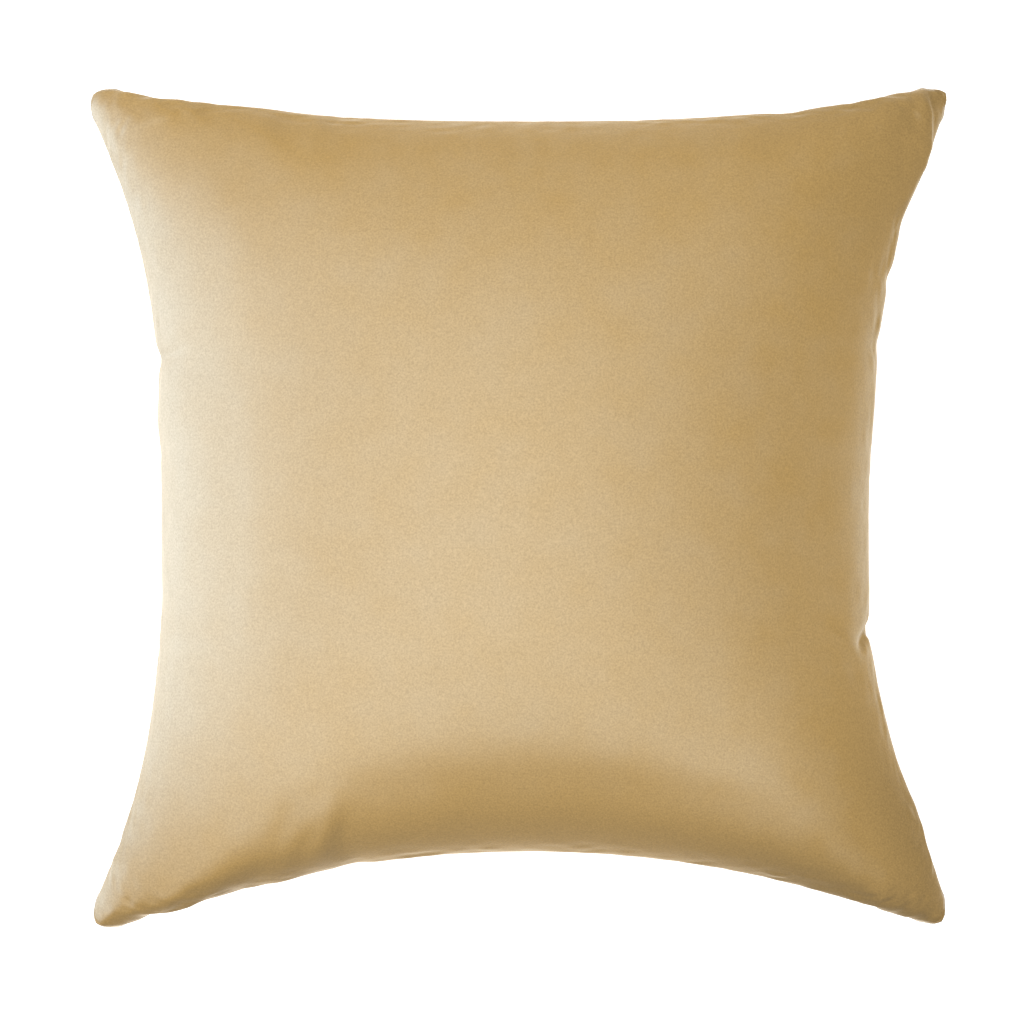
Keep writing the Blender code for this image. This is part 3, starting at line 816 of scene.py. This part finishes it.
# Each stop: which way the cloth faces, from -1 to 1, moved to 0 to 1, and a share of the painted
# pale or a tone of painted shade.
PAINTED_PALE_BY_LEFT_RIGHT = [(0.03, 1.0), (0.14, 0.93), (0.25, 0.68), (0.35, 0.47), (0.5, 0.37),
                      (0.6, 0.23), (0.68, 0.11), (0.85, 0.06), (0.96, 0.34)]
PAINTED_PALE_BY_DOWN_UP = [(0.1, 0.0), (0.2, 0.10), (0.3, 0.35), (0.4, 0.42), (0.5, 0.41),
                   (0.64, 0.30), (0.79, 0.13), (0.95, 0.08)]
PAINTED_SHADE_BY_LEFT_RIGHT = [(0.03, 0.89), (0.35, 0.87), (0.5, 0.97), (0.6, 0.92), (0.7, 0.88),
                      (0.85, 0.91), (0.97, 1.0)]
PAINTED_SHADE_BY_DOWN_UP = [(0.03, 0.66), (0.1, 0.56), (0.2, 0.65), (0.3, 0.89), (0.4, 0.99),
                   (0.5, 1.0), (0.64, 0.95), (0.79, 0.90), (0.95, 0.87)]
CORNER_FROM, CORNER_TO = 0.18, 0.33  # the corners, whose colour is made darker and less pale
CORNER_SHARE, CORNER_TONE = 0.26, 0.30  # how much less pale and how much darker they are
CORNER_TURN, CORNER_REST = 1.1, 0.6  # its growth towards the lower right, and its middle
PALE_FLOOR = 0.527  # what is taken off the sum of the two pale ramps and the patches
RUBBED = 0.24  # how much the brushed patches add
DOWN_FROM, DOWN_TO = 0.16, 0.32  # cloth that turns further down than this isn't pale at all: painted shade keeps it deep
PILE_GRAIN = 0.0011  # fibres bunch to about this; single ones are too fine to show
GRAIN_DARK, GRAIN_LIGHT = 0.84, 1.16
BRUSHED_PATCH = 0.030


def velvet():
    made, tree, shader = new_material("velvet")
    place = add(tree, "ShaderNodeTexCoord")
    facing = add(tree, "ShaderNodeSeparateXYZ", None, {"Vector": (place, "Normal")})
    left_right, down_up = (
        maths(tree, "MULTIPLY_ADD", (facing, axis), 0.5, 0.5) for axis in ("X", "Y")
    )
    # painted light and shade: four ramps read the way the cloth faces and give a pale share and a
    # tone
    painted_pale_across, painted_pale_along, painted_shade_across, painted_shade_along = (
        add(tree, "ShaderNodeValToRGB", None, {"Fac": (way, "Value")}, stops)
        for way, stops in (
            (left_right, PAINTED_PALE_BY_LEFT_RIGHT), (down_up, PAINTED_PALE_BY_DOWN_UP),
            (left_right, PAINTED_SHADE_BY_LEFT_RIGHT), (down_up, PAINTED_SHADE_BY_DOWN_UP),
        )
    )
    tone = maths(tree, "MULTIPLY", (painted_shade_across, "Color"), (painted_shade_along, "Color"))
    painted_pale_share = maths(tree, "ADD", (painted_pale_across, "Color"), (painted_pale_along, "Color"))
    patches = add(tree, "ShaderNodeTexNoise", None,
                  {"Vector": (place, "Object"), "Scale": 1 / BRUSHED_PATCH, "Detail": 3.0})
    pile = add(tree, "ShaderNodeTexNoise", None,
               {"Vector": (place, "Object"), "Scale": 1 / PILE_GRAIN,
                "Detail": 2.0, "Roughness": 0.6})

    # how much darker and less pale: 0 in the middle, rising towards the corners, most of all the
    # lower right one
    flat = add(tree, "ShaderNodeMapping", None, {"Vector": (place, "Object"), "Scale": (1, 1, 0)})
    reach = add(tree, "ShaderNodeVectorMath", {"operation": "LENGTH"}, {0: (flat, "Vector")})
    corner = add(tree, "ShaderNodeMapRange", {"interpolation_type": "SMOOTHSTEP"},
                 {"Value": (reach, "Value"), "From Min": CORNER_FROM, "From Max": CORNER_TO})
    lower_right = add(tree, "ShaderNodeVectorMath", {"operation": "DOT_PRODUCT"},
                      {0: (flat, "Vector"), 1: (1, -1, 0)})
    turned = maths(tree, "MULTIPLY_ADD", (lower_right, "Value"), CORNER_TURN, CORNER_REST,
                   clamp=True)
    pressed = maths(tree, "MULTIPLY", (corner, "Result"), (turned, "Value"))

    # level: the share of the pale colour, painted light by the way the cloth faces plus the brushed
    # patches
    brushed_and_painted_pale = maths(tree, "MULTIPLY_ADD", (patches, "Fac"), RUBBED, (painted_pale_share, "Value"))
    kept = maths(tree, "MULTIPLY_ADD", (pressed, "Value"), -CORNER_SHARE, (brushed_and_painted_pale, "Value"))
    shown = maths(tree, "SUBTRACT", (kept, "Value"), PALE_FLOOR, clamp=True)
    not_down = add(tree, "ShaderNodeMapRange", {"interpolation_type": "SMOOTHSTEP"},
                   {"Value": (down_up, "Value"), "From Min": DOWN_FROM, "From Max": DOWN_TO})
    level = maths(tree, "MULTIPLY", (shown, "Value"), (not_down, "Result"))
    colour = add(tree, "ShaderNodeMix", {"data_type": "RGBA"},
                 {"Factor": (level, "Value"), "A": linear(VELVET_DEEP), "B": linear(VELVET_PALE_BRUSHED_AND_PAINTED_LIGHT)})

    # depth: how light the mixed colour is, from painted shade by the way the cloth faces, the
    # darker corners and the pile's grain
    speckle = add(tree, "ShaderNodeMapRange", None,
                  {"Value": (pile, "Fac"), "From Min": 0.25, "From Max": 0.75,
                   "To Min": GRAIN_DARK, "To Max": GRAIN_LIGHT})
    corner_tone = maths(tree, "MULTIPLY_ADD", (pressed, "Value"), -CORNER_TONE, 1.0)
    cornered = maths(tree, "MULTIPLY", (tone, "Value"), (corner_tone, "Value"))
    depth = maths(tree, "MULTIPLY", (cornered, "Value"), (speckle, "Result"))
    toned = add(tree, "ShaderNodeMix", {"data_type": "RGBA", "blend_type": "MULTIPLY"},
                {"Factor": 1.0, "A": (colour, "Result"), "B": (depth, "Value")})
    bump = add(tree, "ShaderNodeBump", None,
               {"Height": (pile, "Fac"), "Strength": 0.3, "Distance": 0.0006})
    tree.links.new(toned.outputs["Result"], shader.inputs["Base Color"])
    tree.links.new(bump.outputs["Normal"], shader.inputs["Normal"])
    shader.inputs["Roughness"].default_value = 0.9
    shader.inputs["Specular IOR Level"].default_value = 0.17
    shader.inputs["Sheen Weight"].default_value = 0.76
    shader.inputs["Sheen Roughness"].default_value = 0.35
    shader.inputs["Sheen Tint"].default_value = linear(SHEEN_TINT)
    print("velvet:", len(tree.nodes), "nodes")
    return made


def wear(obj, material):
    """Gives an object one material. A CAD node's own slot is refilled, its mesh left alone."""
    if not obj.data.materials:
        obj.data.materials.append(material)
    obj.material_slots[0].material = material


velvet_cloth = velvet()
for panel in (cover_front, cover_back):
    wear(panel, velvet_cloth)

# %% [markdown]
# ## Cotton, fibre and the zip's finishes
#
# The insert is downproof cotton, a close plain weave that looks smooth and chalky. The tapes are
# woven polyester, the coils moulded nylon, and the slider and its tab are brushed, dull brass.
# Each is a Principled shader with one fine pattern at the size of its threads or scratches.

# %% Woven cloths
WAVE_TO_THREAD = 0.314  # a Wave texture of scale s repeats every 0.314 / s


def woven(name, colour_a, colour_b, thread, roughness, sheen):
    """A plain weave of two shades, with a thread every so many metres."""
    made, tree, shader = new_material(
        name, Roughness=roughness, Sheen_Weight=sheen, Specular_IOR_Level=0.25
    )
    place = add(tree, "ShaderNodeTexCoord")
    warp, weft = (
        add(tree, "ShaderNodeTexWave", {"bands_direction": direction},
            {"Vector": (place, "Object"), "Scale": WAVE_TO_THREAD / thread,
             "Distortion": 0.6, "Detail": 1.0})
        for direction in ("X", "Y")
    )
    crossing = maths(tree, "MULTIPLY", (warp, "Fac"), (weft, "Fac"))
    slub = add(tree, "ShaderNodeTexNoise", None, {"Vector": (place, "Object"), "Scale": 90.0})
    level = maths(tree, "MULTIPLY_ADD", (slub, "Fac"), 0.6, (crossing, "Value"))
    colour = add(tree, "ShaderNodeMix", {"data_type": "RGBA"},
                 {"Factor": (level, "Value"), "A": linear(colour_a), "B": linear(colour_b)})
    bump = add(tree, "ShaderNodeBump", None,
               {"Height": (crossing, "Value"), "Strength": 0.4, "Distance": 0.3 * thread})
    tree.links.new(colour.outputs["Result"], shader.inputs["Base Color"])
    tree.links.new(bump.outputs["Normal"], shader.inputs["Normal"])
    return made


# Downproof cotton is chalky and even; its weave shows only from close by.
downproof = woven("downproof_cotton", "#E4DFD2", "#F1EEE6", 0.0009, 0.85, 0.15)
# Zip tape is a tight ribbed weave, duller and darker than the velvet it is dyed to match.
tape_cloth = woven("polyester_tape", "#9A7A46", "#B4935B", 0.0008, 0.7, 0.3)
# Label satin is smooth and white, with a soft gloss.
satin = woven("label_satin", "#E8E6E0", "#F7F6F2", 0.0006, 0.4, 0.1)
for panel in (insert_front, insert_back):
    wear(panel, downproof)
print("woven cloths:", [cloth.name for cloth in (downproof, tape_cloth, satin)])

# %% Fibre, nylon and brass
def speckled(name, colour_a, colour_b, grain, roughness, metallic=0.0, stretch=(1, 1, 1)):
    """Two shades mixed by noise whose grains are so many metres across, stretched if brushed."""
    made, tree, shader = new_material(name, Metallic=metallic)
    place = add(tree, "ShaderNodeTexCoord")
    turned = add(tree, "ShaderNodeMapping", None, {"Vector": (place, "Object"), "Scale": stretch})
    grains = add(tree, "ShaderNodeTexNoise", None,
                 {"Vector": (turned, "Vector"), "Scale": 1 / grain, "Detail": 3.0})
    colour = add(tree, "ShaderNodeMix", {"data_type": "RGBA"},
                 {"Factor": (grains, "Fac"), "A": linear(colour_a), "B": linear(colour_b)})
    rough = add(tree, "ShaderNodeMapRange", None,
                {"Value": (grains, "Fac"), "To Min": roughness - 0.08, "To Max": roughness + 0.08})
    bump = add(tree, "ShaderNodeBump", None,
               {"Height": (grains, "Fac"), "Strength": 0.2, "Distance": 0.1 * grain})
    tree.links.new(colour.outputs["Result"], shader.inputs["Base Color"])
    tree.links.new(rough.outputs["Result"], shader.inputs["Roughness"])
    tree.links.new(bump.outputs["Normal"], shader.inputs["Normal"])
    return made


# Loose fibre is white and soft, with lumps and no highlight.
fibre = speckled("polyester_fibre", "#E9E8E2", "#FBFBF8", 0.0040, 0.9)
# Moulded nylon has a broad, soft highlight on an even colour.
nylon = speckled("moulded_nylon", "#93723F", "#A58450", 0.0015, 0.45)
# Brushed brass is warm, and its highlight is drawn out across the fine scratches.
brass = speckled(
    "brushed_brass", "#A07C3F", "#C7A567", 0.0005, 0.38, metallic=1.0, stretch=(0.15, 1, 1)
)
wear(fill, fibre)
for node, material in (
    ("zip_tape_upper", tape_cloth), ("zip_tape_lower", tape_cloth),
    ("zip_coil_upper", nylon), ("zip_coil_lower", nylon),
    ("zip_top_stop_upper", brass), ("zip_top_stop_lower", brass), ("zip_bottom_stop", brass),
    ("zip_slider", brass), ("zip_pull_tab", brass),
    ("cover_care_label", satin), ("insert_care_label", satin),
):
    wear(nodes[node], material)
print("hard finishes:", [finish.name for finish in (fibre, nylon, brass)])

# %% [markdown]
# ## Floor, light and camera
#
# The pillow lies on white paper in a bright, even room. Such light alone would leave it flat, so
# one soft window at the left gives its sides their shading, helped by the light and shade painted
# into the velvet's colour. The paper glows a little, because light that comes off gold velvet
# would otherwise tint it. The camera looks straight down from far off, so that the edges hardly
# tilt away from it.

# %% Floor
# Plain paper is a matt white with nothing in it for the eye to hold on to.
bpy.ops.object.select_all(action="DESELECT")
bpy.ops.mesh.primitive_plane_add(size=12, location=(0, 0, 0))
floor = bpy.context.object
floor.name = "floor"
paper, _, _ = new_material(
    "white_paper", Base_Color=linear("#FAFAFA"), Roughness=0.9,
    Emission_Color=linear("#FFFFFF"), Emission_Strength=0.6,
)
floor.data.materials.append(paper)

# %% Lights
def soft_light(name, place, size, power):
    """A square white lamp that faces the middle of the floor."""
    data = bpy.data.lights.new(name, "AREA")
    data.shape = "SQUARE"
    data.size = size
    data.energy = power
    lamp = bpy.data.objects.new(name, data)
    bpy.context.scene.collection.objects.link(lamp)
    lamp.location = place
    aim = -lamp.location.normalized()
    lamp.rotation_euler = aim.to_track_quat("-Z", "Y").to_euler()
    print(name, "gives", power, "W from a square", size, "m wide")


soft_light("window_left", (-1.3, -0.25, 1.5), 1.2, 33)
world = bpy.data.worlds.new("studio")
bpy.context.scene.world = world
world.use_nodes = True
world.node_tree.nodes["Background"].inputs["Color"].default_value = (1, 1, 1, 1)
world.node_tree.nodes["Background"].inputs["Strength"].default_value = 1.0
bpy.context.scene.view_settings.view_transform = "Standard"

# %% Camera, straight above
CAMERA_DISTANCE = 3.0
FIELD_WIDTH = 0.5996  # what the frame takes in at the height of the seam
camera_data = bpy.data.cameras.new("camera")
camera = bpy.data.objects.new("camera", camera_data)
bpy.context.scene.collection.objects.link(camera)
camera.location = (-0.0035, -0.0021, SEAM_PLANE + CAMERA_DISTANCE)
camera_data.lens = camera_data.sensor_width * CAMERA_DISTANCE / FIELD_WIDTH
bpy.context.scene.camera = camera
print("lens:", round(camera_data.lens, 1), "mm")
